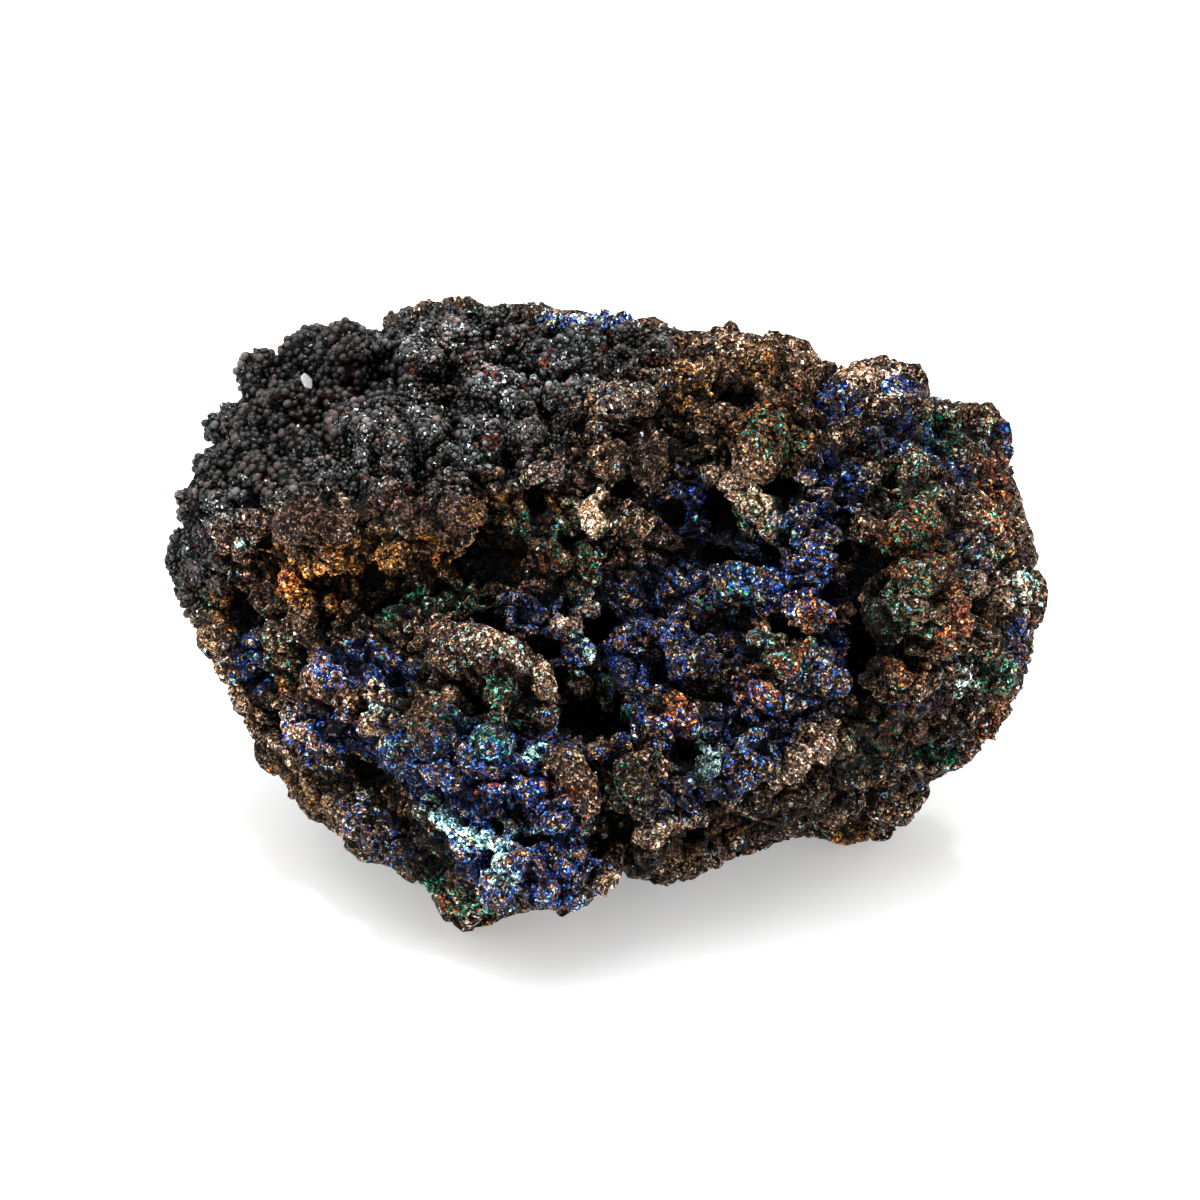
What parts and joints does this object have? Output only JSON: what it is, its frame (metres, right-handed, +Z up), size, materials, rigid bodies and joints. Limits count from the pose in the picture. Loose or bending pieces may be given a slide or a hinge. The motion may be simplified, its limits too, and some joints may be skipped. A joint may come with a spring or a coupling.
{
  "type": "azurite specimen",
  "caption": "Rough lump of iron gossan with azurite and malachite crusts, a botryoidal goethite cap and lined hollows, resting on a flat foot.",
  "frame": {"origin": "on the flat face under the stone, where it rests, near the middle of its plan", "axes": "+Z up, +X to the right of the best view along the longest side, and the front faces -Y"},
  "size_m": [0.0897, 0.0729, 0.0544],
  "materials": {
    "gossan_with_azurite": "rough dark brown stone with blue, green and rust coloured crystal crusts"
  },
  "bodies": {
    "root": {"azurite_specimen": "gossan_with_azurite"}
  },
  "joints": []
}
